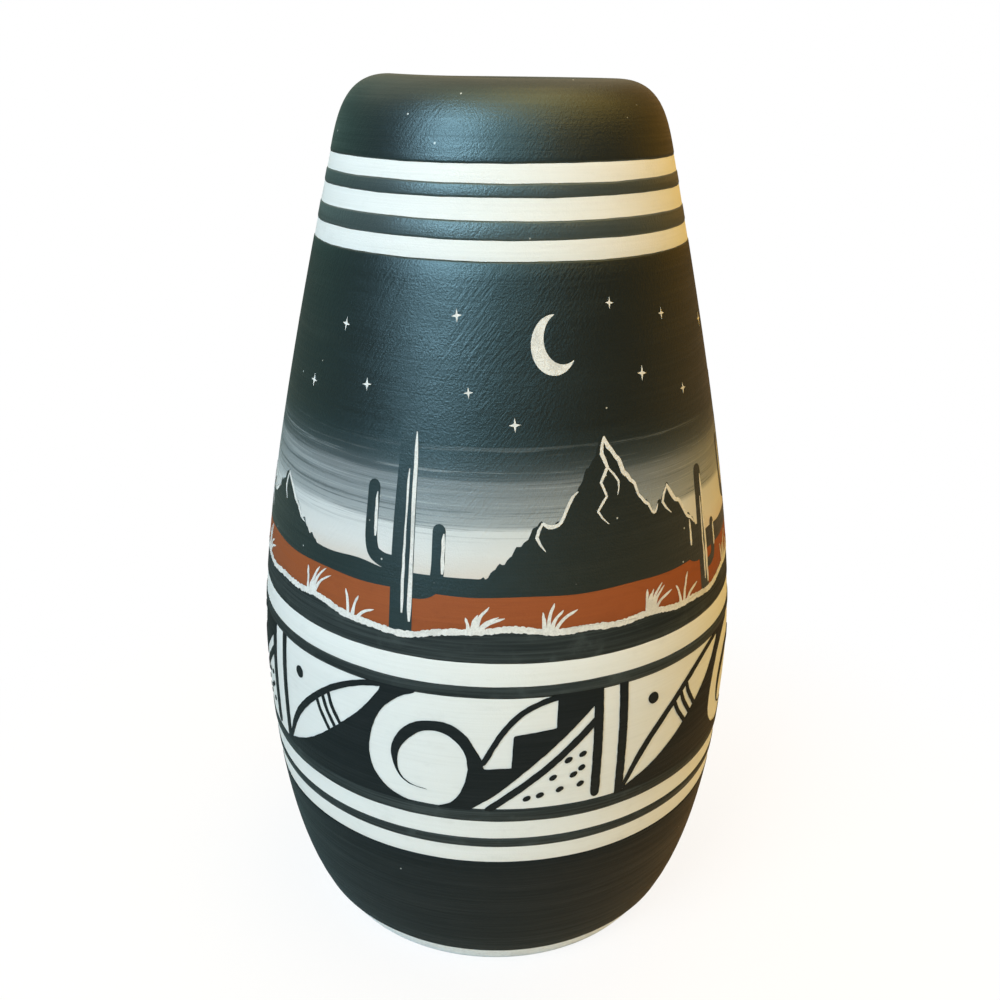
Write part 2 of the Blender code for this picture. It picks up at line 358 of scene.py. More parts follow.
white_slip = make_plain_slip("white_slip", WHITE, WHITE_SHADE, gloss=0.58)
rust_slip = make_plain_slip("rust_slip", RUST, RUST_DARK, gloss=0.55)
print("plain slips:", white_slip.name, rust_slip.name)

# %% [markdown]
# The sky is black slip brushed thinner and thinner downwards, in three passes, until the pale ground takes
# over. Height above the foot of the sky drives a colour ramp with a step for each pass. Long level noise
# shifts that height, so the steps wander, and thin lines of it drag dark and pale streaks through the greys.

# %% Faded sky slip
SKY_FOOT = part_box("sky_band")[0][2] / MM
SKY_STEPS = (  # height above the foot of the sky, and the colour of the thinned slip there
    (3.5, (0.73, 0.65, 0.57)),
    (6.5, (0.75, 0.73, 0.69)),
    (10.7, (0.68, 0.69, 0.67)),
    (11.9, (0.37, 0.39, 0.39)),
    (15.0, (0.25, 0.27, 0.275)),
    (18.8, (0.175, 0.19, 0.195)),
    (19.8, (0.060, 0.073, 0.078)),
    (22.0, (0.028, 0.037, 0.040)),
    (24.5, (0.010, 0.016, 0.018)),
    (28.0, BLACK_DARK),
)
STEP_WANDER = 5.0  # how far a step wanders up and down, in millimetres
WANDER_STREAK = (50.0, 50.0, 2.5)
DRAG_STREAK = (85.0, 85.0, 1.0)
DRAG_DARK = (0.035, 0.045, 0.05)
DRAG_PALE = (0.55, 0.58, 0.58)
GREYS_START, GREYS_END = (8.0, 12.5), (27.0, 20.0)  # heights over which the drag comes in and fades out
WEAR_START = (22.0, 32.0)


def make_sky_slip():
    finish, tree, shader, place = new_finish("sky_slip")
    streak = slip_shading(tree, shader, place, gloss=0.395, grain=2.0, rubbing=5.0)
    height = node(tree, "ShaderNodeSeparateXYZ", None, Vector=place).outputs["Z"]
    height = maths(tree, "SUBTRACT", height, SKY_FOOT)
    wander = noise(tree, place, WANDER_STREAK, scale=0.6, detail=3.0)
    drag = noise(tree, place, DRAG_STREAK, scale=1.3, detail=6.0, roughness=0.78)
    shift = times(tree, maths(tree, "SUBTRACT", wander, 0.5), STEP_WANDER)
    shifted = maths(tree, "ADD", height, shift)
    low, high = SKY_STEPS[0][0], SKY_STEPS[-1][0]
    linear = node(tree, "ShaderNodeMapRange", None, Value=shifted, From_Min=low, From_Max=high)
    ramp = node(tree, "ShaderNodeValToRGB", None, Fac=linear.outputs["Result"])
    stops = ramp.color_ramp.elements
    while len(stops) < len(SKY_STEPS):
        stops.new(0.5)
    for stop, (level, colour) in zip(stops, SKY_STEPS):
        stop.position = (level - low) / (high - low)
        stop.color = (*colour, 1.0)
    greys = times(tree, span(tree, shifted, *GREYS_START), span(tree, shifted, *GREYS_END))
    dark = times(tree, greys, span(tree, drag, 0.53, 0.64, 0.0, 0.65))
    pale = times(tree, greys, span(tree, drag, 0.46, 0.36, 0.0, 0.30))
    colour = blend(tree, dark, ramp.outputs["Color"], DRAG_DARK)
    colour = blend(tree, pale, colour, DRAG_PALE)
    worn = span(tree, streak, 0.4, 0.75, 0.0, 0.7)
    worn = times(tree, worn, span(tree, height, *WEAR_START))
    colour = blend(tree, worn, colour, BLACK_WORN)
    colour = blend(tree, pale_specks(tree, place, share=0.03, size=0.09), colour, SPECK)
    feed(tree, shader, Base_Color=colour, Specular_IOR_Level=1.0, Specular_Tint=SHEEN_TINT, IOR=SLIP_IOR)
    return finish


sky_slip = make_sky_slip()
print("sky slip steps:", len(SKY_STEPS))

# %% [markdown]
# Bare fired clay shows at the foot, and a clear glaze lines the inside. Scratched lines show the white
# ground through the black: chalky, rough and a little uneven.

# %% Clay, glaze and scratched ground
CLAY = (0.78, 0.79, 0.76)
CLAY_SHADE = (0.60, 0.59, 0.56)
GLAZE = (0.74, 0.72, 0.66)
GLAZE_SHADE = (0.58, 0.55, 0.48)
SCRATCH = (0.82, 0.81, 0.76)
SCRATCH_SHADE = (0.55, 0.54, 0.50)


def make_grained(name, light, dark, gloss, grain, bump):
    finish, tree, shader, place = new_finish(name)
    coarse = noise(tree, place, EVEN, grain, detail=5.0, roughness=0.6)
    soft = noise(tree, place, EVEN, grain * 0.12, detail=3.0)
    colour = blend(tree, span(tree, coarse, 0.4, 0.75, 0.0, 0.7), light, dark)
    colour = blend(tree, span(tree, soft, 0.45, 0.75, 0.0, 0.6), colour, dark)
    roughness = span(tree, coarse, 0.3, 0.7, gloss - 0.05, gloss + 0.08)
    feed(tree, shader, Base_Color=colour, Roughness=roughness)
    bumped(tree, shader, coarse, bump)
    return finish


bare_clay = make_grained("bare_clay", CLAY, CLAY_SHADE, gloss=0.82, grain=1.6, bump=0.35)
liner_glaze = make_grained("liner_glaze", GLAZE, GLAZE_SHADE, gloss=0.16, grain=0.5, bump=0.05)
scratch_white = make_grained("scratch_white", SCRATCH, SCRATCH_SHADE, gloss=0.75, grain=2.5, bump=0.5)
print("grained finishes:", bare_clay.name, liner_glaze.name, scratch_white.name)

# %% [markdown]
# A ring is a coat that runs round the pot. A Screw modifier would turn a perfect one, but a brushed edge
# wanders. So each ring is a section swept round in small steps, and its upper and lower edges move by a tenth
# or two of a millimetre. Sums of sine waves with whole numbers of turns close without a seam.

# %% Rings with brushed edges
SEGMENTS = 360
EDGE_WAVES = (1, 2, 3, 5, 8, 13, 21, 34, 55)  # waves round the pot
angles = np.arange(SEGMENTS) * 2 * math.pi / SEGMENTS
girth_marks = angles * SHEET_RADIUS


def brushed_edge(seed, reach):
    """How far a brushed edge wanders at each step round the pot, in millimetres."""
    chance = np.random.default_rng(seed)
    drift = np.zeros(SEGMENTS)
    for waves in EDGE_WAVES:
        phase = chance.uniform(0, 2 * math.pi)
        drift += np.sin(waves * angles + phase) * chance.uniform(0.3, 1.0) / waves**0.6
    return reach * drift / np.abs(drift).max()


def add_object(name, data):
    """Puts a mesh, a lamp or a camera into the scene."""
    made = bpy.data.objects.new(name, data)
    bpy.context.scene.collection.objects.link(made)
    return made


def sweep(name, sections, finish, nodes):
    """Closes a row of like sections into a ring. Sections: steps round x points x 3, in metres."""
    steps, points, _ = sections.shape
    grid = np.arange(steps * points).reshape(steps, points)
    ahead = np.roll(grid, -1, axis=0)
    quads = np.stack([grid, np.roll(grid, -1, axis=1), np.roll(ahead, -1, axis=1), ahead], axis=-1)
    mesh = bpy.data.meshes.new(name)
    mesh.from_pydata(sections.reshape(-1, 3).tolist(), [], quads.reshape(-1, 4).tolist())
    return dress(name, mesh, finish, nodes)


def dress(name, mesh, finish, nodes):
    """Makes a mesh a piece of the pot with its finish and the solids that it stands for."""
    mesh.materials.append(finish)
    for face in mesh.polygons:
        face.use_smooth = True
    piece = add_object(name, mesh)
    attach(piece, "root")
    if nodes:
        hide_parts(*nodes)
    return piece


EDGE_ROUND = 0.35  # how far in from its edge a coat reaches its full thickness
EDGE_DROP = 0.1  # how much lower it lies at the edge
COAT_BACK = -0.25
ROW_GAP = 3.0


def brushed_ring(name, low, high, lift, finish, nodes, seed, reach=0.16):
    """A coat between two heights (numbers, or one for each step round), with wandering edges."""
    low = np.broadcast_to(low, SEGMENTS) + brushed_edge(seed, reach)
    high = np.broadcast_to(high, SEGMENTS) + brushed_edge(seed + 1, reach)
    rows = max(2, math.ceil(float((high - low).max()) / ROW_GAP))
    inner = np.linspace(1.0, 0.0, rows + 1)
    tops = high - EDGE_ROUND
    bottoms = low + EDGE_ROUND
    face = [high] + [bottoms + share * (tops - bottoms) for share in inner] + [low]
    lifts = [lift - EDGE_DROP] + [lift] * (rows + 1) + [lift - EDGE_DROP]
    back = list(reversed(face[1:-1]))
    heights = np.stack(face + back, axis=1)
    section_lift = np.array(lifts + [COAT_BACK] * len(back))
    across = np.repeat(girth_marks[:, None], heights.shape[1], axis=1)
    points, _ = on_wall(across, heights, section_lift)
    return sweep(name, points, finish, nodes)


print("ring steps:", SEGMENTS)

# %% [markdown]
# Heights of the bands follow the frame: each solid's box gives where its coat starts and ends. Two white
# grounds lie lowest. The black coats overlap them a little and stand just proud, as paint does.

# %% The banded coats
def ends(name):
    """Lower and upper height of a node, in millimetres."""
    low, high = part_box(name)
    return low[2] / MM, high[2] / MM


GROUND_LIFT = -0.10
COAT_LIFT = 0.0
OVERLAP = 0.9  # how far a white ground reaches under the black beside it
GAP = 0.1  # half the gap that the solids leave between neighbouring bands

rings = []
for seed, name in enumerate(("neck_white", "belly_white")):
    low, high = ends(name)
    low, high = low - OVERLAP, high + OVERLAP
    rings.append(brushed_ring(name, low, high, GROUND_LIFT, white_slip, [name], 10 + seed, 0.1))
for seed, (name, finish, slot) in enumerate((
    ("neck_line_1", neck_slip, "black_slip"),
    ("neck_line_2", neck_slip, "black_slip"),
    ("hoop_line", thin_black_slip, "black_slip"),
    ("base_band", dry_black_slip, "black_slip"),
    ("sky_band", sky_slip, "sky_slip"),
)):
    low, high = ends(name)
    rings.append(brushed_ring(name, low - GAP, high + GAP, COAT_LIFT, finish, [name], 30 + 2 * seed))
print("banded coats:", [r.name for r in rings])

# %% [markdown]
# The rim band wraps over the lip and into the mouth. Its section runs up the roll, over the top and round
# the nose of the lip. A thrown lip is never quite level: this one rises by almost half a millimetre on its
# left, so the upper part is lifted by a soft hump before it is swept.

# %% Rim band
NOSE_RADIUS = 2.6
HUMP_RISE = 0.45
HUMP_WIDTH = math.radians(80.0)
HUMP_ANGLE = math.radians(-80.0)
HUMP_FROM = TOP - 17.0
NOSE_END, NOSE_POINTS = math.pi * 1.45, 14
RIM_LOWER, RIM_ROLL, RIM_BACK = 1.0, 2.0, 3.0  # heights of the section's turns above the band's lower edge


def hump(angle, height):
    """How far the lip rises at an angle round the pot, fading out down the wall."""
    away = np.abs((angle - HUMP_ANGLE + math.pi) % (2 * math.pi) - math.pi)
    rise = np.where(away < HUMP_WIDTH, 0.5 + 0.5 * np.cos(math.pi * away / HUMP_WIDTH), 0.0)
    return HUMP_RISE * rise * np.clip((height - HUMP_FROM) / (TOP - HUMP_FROM), 0.0, 1.0) ** 2


rim_low, _ = ends("rim_band")
rim_low -= GAP
rim_edge = brushed_edge(60, 0.16)
roll = outline[outline[:, 1] > rim_low + RIM_ROLL]
turns = np.linspace(math.pi / 2, NOSE_END, NOSE_POINTS)[1:]
nose_middle = np.array([LIP_RADIUS, TOP - NOSE_RADIUS])
nose = nose_middle + NOSE_RADIUS * on_circle(turns)
upper = np.vstack([nose[::-1], roll[::-SKIN_STEP]])
sections = []
for angle, drift in zip(angles, rim_edge):
    edge = rim_low + drift
    lower_heights = np.array([rim_low + RIM_LOWER, edge + EDGE_ROUND, edge])
    lower, _ = on_wall(angle * SHEET_RADIUS, lower_heights, np.array([0.0, 0.0, -EDGE_DROP]))
    back, _ = on_wall(angle * SHEET_RADIUS, np.array([edge + EDGE_ROUND, rim_low + RIM_BACK]), COAT_BACK)
    across, out = math.sin(angle), -math.cos(angle)
    heights = upper[:, 1] + hump(angle, upper[:, 1])
    face = np.column_stack([across * upper[:, 0], out * upper[:, 0], heights]) * MM
    inside = np.array([across * nose_middle[0], out * nose_middle[0], nose_middle[1]]) * MM
    sections.append(np.vstack([face, lower, back, inside]))
sweep("rim_band", np.array(sections), black_slip, ["rim_band"])
print("rim band points in a section:", sections[0].shape[0])

# %% [markdown]
# The clay body and the glaze inside it are plain turned shapes, so a Screw modifier makes them: a profile on
# one side of the axis, turned in fine steps. The clay shows as the bare edge of the foot and under the pot,
# and the glaze through the mouth.

# %% Clay body and glaze lining
WALL = 4.6
FLOOR = 6.5
FOOT_RING = 5.5
FOOT_RECESS = 2.0
FOOT_EDGE = 0.3
GLAZE_DEPTH = 0.45
GLAZE_GAP = 0.05  # between the glaze and the clay
FILLET, FILLET_PULL = 11.0, 0.55
FILLET_POINTS, LIP_POINTS, CUP_STEP, TURN_STEPS = 14, 12, 8, 180


def turned(name, profile, finish, slot, nodes):
    """Turns a profile of (radius, height) points, in millimetres, about the pot's axis."""
    mesh = bpy.data.meshes.new(name)
    joins = [(i, i + 1) for i in range(len(profile) - 1)]
    mesh.from_pydata([(r * MM, 0.0, z * MM) for r, z in profile], joins, [])
    piece = dress(name, mesh, finish, nodes)
    screw = piece.modifiers.new("turn", "SCREW")
    screw.steps = screw.render_steps = TURN_STEPS
    screw.use_merge_vertices = True
    screw.merge_threshold = 0.01 * MM
    return piece


clay_skin = outline - normals * CLAY_DEPTH
inner_skin = outline - normals * (CLAY_DEPTH + WALL)
inside = inner_skin[inner_skin[:, 1] > FLOOR + FILLET]
corner = np.array([np.interp(FLOOR, inner_skin[:, 1], inner_skin[:, 0]), FLOOR])
floor_edge = corner - np.array([FILLET, 0.0])
floor_pull = floor_edge + (corner - floor_edge) * FILLET_PULL
wall_pull = inside[0] + (corner - inside[0]) * FILLET_PULL
fillet = bezier(floor_edge, floor_pull, wall_pull, inside[0], FILLET_POINTS)
cup = np.vstack([[(0.0, FLOOR)], fillet, inside[CUP_STEP::CUP_STEP]])
nose_turns = np.linspace(-math.pi / 2, -math.pi * 1.5, LIP_POINTS)
lip_middle = np.array([LIP_RADIUS, TOP - CLAY_DEPTH - WALL / 2])
clay_nose = lip_middle + WALL / 2 * on_circle(nose_turns)
outside = clay_skin[clay_skin[:, 1] > FOOT_EDGE][::-SKIN_STEP]
ring_inside = FOOT_RADIUS - FOOT_RING
under = [
    (FOOT_RADIUS - FOOT_EDGE, 0.0),
    (ring_inside + FOOT_EDGE, 0.0),
    (ring_inside, FOOT_EDGE),
    (ring_inside - FOOT_EDGE, FOOT_RECESS),
    (0.0, FOOT_RECESS),
]
clay = turned("clay_body", np.vstack([cup, clay_nose, outside[1:], under]), bare_clay, "clay", ["clay_body"])
glaze_face = np.vstack([cup[:1] + (0.0, GLAZE_DEPTH), cup[1:-1] + (-GLAZE_DEPTH, 0.0)])
glaze_face[1:FILLET_POINTS + 1, 1] += np.linspace(GLAZE_DEPTH, 0.0, FILLET_POINTS)
glaze_back = cup[:-1][::-1] + (0.0, GLAZE_GAP)
glaze_back[:-FILLET_POINTS - 1, 0] -= GLAZE_GAP
lining = turned("liner_glaze", np.vstack([glaze_face, glaze_back]), liner_glaze, "glaze", ["liner_glaze"])
print("turned pieces:", clay.name, lining.name)

# %% [markdown]
# Strokes and filled shapes are drawn on the flat sheet as closed outlines. A stroke is a path with a width
# at each point, so a brush line can swell and taper. A shape is cut into small cells before it is wrapped, or
# its long triangles would cut through the round wall. A thin back and sides make it a closed coat.

# %% Strokes and patches on the sheet
CAP_POINTS = 7  # round a stroke's end


def smooth(points, count=10):
    """A smooth path through given points (Catmull-Rom)."""
    points = np.array(points, dtype=float)
    padded = np.vstack([2 * points[0] - points[1], points, 2 * points[-1] - points[-2]])
    path = []
    for a, b, c, d in zip(padded, padded[1:], padded[2:], padded[3:]):
        t = np.linspace(0.0, 1.0, count, endpoint=False)[:, None]
        bow = 2 * a - 5 * b + 4 * c - d
        twist = 3 * b - a - 3 * c + d
        path.append(0.5 * (2 * b + (c - a) * t + bow * t**2 + twist * t**3))
    return np.vstack([*path, points[-1:]])


def stroke(points, widths, count=10, round_start=True, round_end=True):
    """Outline of a brush line along a smooth path, with a width at each point."""
    if np.isscalar(widths):
        widths = [widths] * len(points)
    path = smooth(np.column_stack([points, widths]), count)
    centre, half = path[:, :2], path[:, 2:] / 2
    run = np.gradient(centre, axis=0)
    run /= np.linalg.norm(run, axis=1)[:, None] + 1e-9
    side = np.stack([-run[:, 1], run[:, 0]], axis=1)
    left, right = centre + side * half, centre - side * half
    bows = np.linspace(-math.pi / 2, math.pi / 2, CAP_POINTS)[1:-1, None]
    tip = centre[-1] + half[-1] * (np.cos(bows) * run[-1] + np.sin(bows) * side[-1])
    tail = centre[0] - half[0] * (np.cos(bows) * run[0] + np.sin(bows) * side[0])
    return np.vstack([right, tip if round_end else tip[:0], left[::-1], tail if round_start else tail[:0]])


def dot(middle, wide, high, tilt=0.0, count=16):
    turn = np.arange(count) * 2 * math.pi / count
    along_x, along_y = wide * np.cos(turn), high * np.sin(turn)
    c, s = math.cos(math.radians(tilt)), math.sin(math.radians(tilt))
    return np.array(middle) + np.stack([c * along_x - s * along_y, s * along_x + c * along_y], axis=1)


hand = np.random.default_rng(3)
HAND_STEP = 0.4
HAND_SHAKE = 0.035
HAND_LEAST = 14  # steps round the smallest outline


def hand_drawn(points):
    """Goes round a closed outline in short even steps, each a hair off, as a brush does."""
    closed = np.vstack([points, points[:1]])
    run = np.concatenate([[0.0], np.cumsum(np.linalg.norm(np.diff(closed, axis=0), axis=1))])
    marks = np.linspace(0.0, run[-1], max(HAND_LEAST, int(run[-1] / HAND_STEP)), endpoint=False)
    even = np.stack([np.interp(marks, run, closed[:, k]) for k in (0, 1)], axis=1)
    shake = hand.normal(0.0, HAND_SHAKE, even.shape)
    return even + 0.5 * shake + 0.25 * np.roll(shake, 1, axis=0) + 0.25 * np.roll(shake, -1, axis=0)


CELL_ACROSS = 2.0
CELL_UP = 4.0
COAT = 0.08
LAYER = 0.0006  # how far an outline stands above the one before, over a run of layers
LAYERS = 12


def flat_cells(outline_points):
    """A filled outline, cut into cells small enough to follow the wall."""
    x, y = outline_points[:, 0], outline_points[:, 1]
    if np.sum(x * np.roll(y, -1) - np.roll(x, -1) * y) < 0:
        outline_points = outline_points[::-1]
    cells = bmesh.new()
    filled = cells.faces.new([cells.verts.new((u, v, 0.0)) for u, v in outline_points])
    filled.normal_update()
    bmesh.ops.triangulate(cells, faces=[filled])
    for axis, step in ((0, CELL_ACROSS), (1, CELL_UP)):
        low, high = outline_points[:, axis].min(), outline_points[:, axis].max()
        for cut in np.arange(math.floor(low / step) + 1, math.ceil(high / step)) * step:
            way = np.eye(3)[axis]
            parts = cells.verts[:] + cells.edges[:] + cells.faces[:]
            bmesh.ops.bisect_plane(cells, geom=parts, plane_co=way * cut, plane_no=way, dist=1e-5)
    return cells


def lay_on(name, outlines, lift, finish, nodes=()):
    """Wraps filled outlines onto the wall as one thin coat, each a hair above the one before."""
    verts, facing, faces = [], [], []
    for order, points in enumerate(outlines):
        cells = flat_cells(np.asarray(points, dtype=float))
        cells.verts.index_update()
        across, up = np.array([v.co[:2] for v in cells.verts]).T
        count = len(across)
        base = sum(len(v) for v in verts)
        own_lift = lift + LAYER * (order % LAYERS)
        top, out = on_wall(across, up, own_lift)
        bottom, _ = on_wall(across, up, own_lift - COAT)
        verts += [top, bottom]
        facing += [out, -out]
        for face in cells.faces:
            loop = [v.index + base for v in face.verts]
            faces += [loop, [i + count for i in reversed(loop)]]
        for edge in cells.edges:
            if len(edge.link_loops) == 1:
                a = edge.link_loops[0].vert.index + base
                b = edge.link_loops[0].link_loop_next.vert.index + base
                faces.append([a, a + count, b + count, b])
        cells.free()
    mesh = bpy.data.meshes.new(name)
    mesh.from_pydata(np.vstack(verts).tolist(), [], faces)
    dress(name, mesh, finish, nodes)
    mesh.normals_split_custom_set_from_vertices(np.vstack(facing).tolist())


print("cells of", CELL_ACROSS, "by", CELL_UP, "mm")

# %% [markdown]
# The frieze is a row of old geometric motifs: a split leaf with a dot above it, a scroll, a stepped block,
# slanting stripes, a dotted triangle and an upright bar. One panel is drawn once, from its leaf post to the
# next. The front one keeps that width, and the three others are stretched a little to fill the girth.

# %% The frieze panel
frieze_low, frieze_high = ends("frieze_band")
FRIEZE_LINE_LOW = 2.7  # upper edge of the line along the frieze's bottom, above the frieze's lower edge
FRIEZE_LINE_TOP = 25.8  # lower edge of the line along its top
PITCH = 70.0
LOW, HIGH = 2.0, 26.3  # where shapes end under those lines

leaf_under = smooth([
    (0, 3.5), (6, 6.5), (11, 10), (16, 14.3), (20, 18.1), (22.5, 20.9), (25.2, 24.6),
])
scroll_left = smooth([
    (31.8, 25.5), (29, 24.1), (26, 21.3), (24, 17.3), (23, 12.3), (23.5, 8.3), (25.5, 5.3),
    (28, 3.6), (30.8, 2.7), (33.5, 2.3),
])
scroll_outer = smooth([
    (34, 5.9), (30.5, 6.6), (28.5, 8.6), (27.5, 11.8), (27.8, 14.8), (29.5, 17.8), (32, 19.8),
    (35.5, 20.6), (38.5, 20.2), (41, 18.3), (42.5, 15.8), (43.6, 13.6), (44.2, 10.5),
])
scroll_inner = smooth([
    (41, 8.6), (41.3, 11.3), (40.7, 14.8), (38.5, 17.6), (36, 18.7), (33, 18.1), (30.5, 15.8),
    (29, 13.3), (28.6, 10.3), (29.2, 8.1), (31, 6.6), (34, 5.9),
])
block_slope = smooth([(63.6, 23.1), (56, 15.5), (51, 10.7), (46, 5.9), (41.8, 2.7)])
scroll_foot = smooth([(36, 2.7), (38, 3.6), (39.5, 5.3), (40.7, 8.1), (41.3, 11.3)])
block_steps = [
    (43.6, 13.6), (44.1, 11.5), (48.8, 11.8), (49.1, 18.4), (56.5, 19.5), (56.7, HIGH), (64.9, HIGH),
    (64.9, 24),
]
panel = [
    stroke([(-0.85, HIGH), (-0.85, 14), (-0.9, LOW)], 1.6),
    dot((5.3, 20.8), 1.1, 1.2, tilt=20.0),
    stroke(
        [(-0.2, 3.5), (2.8, 9.3), (6, 13.7), (11, 18.6), (16, 22.3), (21, 24.7), (25.6, 25.9)],
        [0.8, 1.3, 1.4, 1.3, 1.2, 1.1, 1],
    ),
    stroke([(10.7, 17.4), (11.5, 15.5), (13.9, 11.9)], 0.8),
    stroke([(12.3, 18.9), (13.2, 16.6), (15.2, 13.4)], 0.8),
    stroke([(13.8, 20.1), (14.6, 17.8), (16.5, 14.7)], 0.8),
    np.vstack([leaf_under, [(25.6, HIGH), (32.5, HIGH)], scroll_left, [(33.5, LOW), (0, LOW)]]),
    np.vstack([scroll_outer, scroll_inner[:-1]]),
    np.vstack([block_steps, block_slope, [(41.5, LOW), (36, LOW)], scroll_foot]),
    stroke([(44, 12.8), (46.1, 17.1), (48.2, 20.4), (51, 23.2), (54.5, 24.9), (56.8, 25.5)], 1.05),
    stroke([(44.9, 2.7), (51, 7.8), (56, 12.2), (61, 17.1), (63.6, 19.8)], 1.35),
    stroke([(64.15, HIGH), (64.15, 14), (64.1, 4.2)], 1.75),
]
for middle in (
    (51.6, 5), (53.9, 5.6), (57.4, 6.4), (61.2, 6.9), (56.1, 9.1), (59.8, 9.2), (61.3, 10.4),
    (58.8, 12.5), (61.4, 13.3),
):
    panel.append(dot(middle, 0.77, 0.54, tilt=35.0, count=12))

FRONT_LEAF = -46.0
back_pitch = (GIRTH - PITCH) / 3
panel_starts = [FRONT_LEAF] + [FRONT_LEAF + PITCH + k * back_pitch for k in range(3)]
panel_widths = [PITCH] + [back_pitch] * 3
STROKE_LIFT = 0.02
LINE_LIFT = 0.03
for number, (start, width) in enumerate(zip(panel_starts, panel_widths), 1):
    stretch = (width / PITCH, 1.0)
    placed = [hand_drawn(shape) * stretch + (start, frieze_low) for shape in panel]
    lay_on(f"frieze_panel_{number}", placed, STROKE_LIFT, dry_black_slip, ["frieze_band"])
frieze_lines = (
    (frieze_low - GAP, frieze_low + FRIEZE_LINE_LOW),
    (frieze_low + FRIEZE_LINE_TOP, frieze_high + GAP),
)
for number, (low, high) in enumerate(frieze_lines, 1):
    brushed_ring(
        f"frieze_line_{number}", low, high, LINE_LIFT, thin_black_slip, ["frieze_band"],
        70 + 2 * number,
    )
print("frieze panels:", len(panel_starts), "shapes in each:", len(panel))

# %% [markdown]
# The picture field holds a plain night scene. The rust slip is a ring whose lower edge rolls like dunes. The
# dark land above it is laid on in filled stretches whose upper edge is a skyline: a plain, with peaks at
# listed marks round the girth.

# %% Dunes and skyline
rust_low, rust_high = ends("rust_band")
ground_low, _ = ends("ground_band")
DUNE_FOOT = 0.9  # above the foot of the rust slip
DUNE_WAVES = ((5, 0.7, 0.6), (9, 0.5, 2.0), (23, 0.2, 0.0))  # waves round the pot, height and phase
GROUND_UNDER, RUST_UNDER = 4.0, 1.2  # how far each reaches under the coat above it
RUST_LIFT, LAND_LIFT = 0.012, 0.03


def dunes(across):
    """The height of the dune line round the pot."""
    height = rust_low + DUNE_FOOT
    for waves, tall, phase in DUNE_WAVES:
        height = height + tall * np.sin(waves * (across / SHEET_RADIUS) + phase)
    return height


brushed_ring(
    "ground_band", ground_low - GAP, rust_low + GROUND_UNDER, COAT_LIFT, thin_black_slip,
    ["ground_band"], 86,
)
brushed_ring(
    "rust_band", dunes(girth_marks), rust_high + RUST_UNDER, RUST_LIFT, rust_slip,
    ["rust_band"], 90, reach=0.08,
)
PLAIN_HEIGHT = rust_high + 3.0
PEAKS = (  # across, rise above the plain, half of the foot's width
    (20.5, 23, 19), (8, 10, 11), (35, 12.5, 13), (-51, 10, 15), (-62, 5, 10),
    (-86, 12, 17), (-99, 6, 12), (-134, 13, 18), (84, 14, 16), (97, 7, 12),
    (128, 9, 16),
)


def skyline(across):
    """The height of the land against the sky: a plain with peaks that steepen towards their tops."""
    turn = across / SHEET_RADIUS
    height = PLAIN_HEIGHT + 0.5 * np.sin(7 * turn) + 0.25 * np.sin(20 * turn)
    for middle, rise, half in PEAKS:
        away = np.abs((across - middle + GIRTH / 2) % GIRTH - GIRTH / 2)
        crags = 0.35 * np.sin(89 * turn + middle) + 0.25 * np.sin(202 * turn)
        slope = np.clip(1 - away / half, 0.0, 1.0)
        height = np.maximum(height, PLAIN_HEIGHT + rise * slope**1.25 + crags * (slope > 0.05))
    return height


LAND_STRETCHES, LAND_MARKS, LAND_OVERLAP = 8, 90, 0.05
land_outlines = []
for number in range(LAND_STRETCHES):
    start = -GIRTH / 2 + number * GIRTH / LAND_STRETCHES
    marks = np.linspace(start, start + GIRTH / LAND_STRETCHES + LAND_OVERLAP, LAND_MARKS)
    foot_line = np.column_stack([marks, rust_high - 0.15 + 0.12 * np.sin(15 * marks / SHEET_RADIUS)])
    land_outlines.append(np.vstack([foot_line, np.column_stack([marks, skyline(marks)])[::-1]]))
lay_on("land", land_outlines, LAND_LIFT, black_slip)
print("land stretches:", LAND_STRETCHES, "highest", round(np.vstack(land_outlines)[:, 1].max(), 1), "mm")

# %% [markdown]
# The bright lines were scratched through the black with a point, down to the white ground. Each is a narrow
# rough ribbon: a stroke whose width is jittered by a seeded random number, so that it looks cut, not drawn.

# %% Scratched lines
chance = np.random.default_rng(7)
SCRATCH_SHAKE = 0.035


def scratch(points, width, taper=0.4, bend=6):
    """A rough scratched line through given points. With a bend of 1 its corners stay sharp."""
    path = smooth(points, bend)
    press = chance.uniform(0.7, 1.3, len(path))
    press = 0.5 * press + 0.25 * np.roll(press, 1) + 0.25 * np.roll(press, -1)
    press *= np.linspace(1.0, taper, len(path))
    press[0] *= 0.5
    press[-1] *= 0.3
    jitter = chance.normal(0.0, SCRATCH_SHAKE, path.shape)
    return stroke(path + jitter, width * press, count=2, round_start=False, round_end=False)


SCRATCH_LIFT = 0.06
DUNE_STEPS = 240
DUNE_STRETCH = 24
dune_marks = -GIRTH / 2 + np.arange(DUNE_STEPS + 4) * GIRTH / DUNE_STEPS
dune_line = []
for start in range(0, DUNE_STEPS, DUNE_STRETCH):
    part = dune_marks[start:start + DUNE_STRETCH + 3]
    dune_line.append(scratch(np.column_stack([part, dunes(part)]), 1.1, taper=1.0))
lay_on("scratched_dunes", dune_line, SCRATCH_LIFT, scratch_white)
print("scratched dune stretches:", len(dune_line))

# %% [markdown]
# Plants stand in front of the land. A branching cactus is black, with its ribs scratched on the lit side, so
# it shows against the pale sky below and against the black sky above. Wind-bent grass grows along the dunes.

# %% Cacti and grass
PLANT_LIFT = 0.04


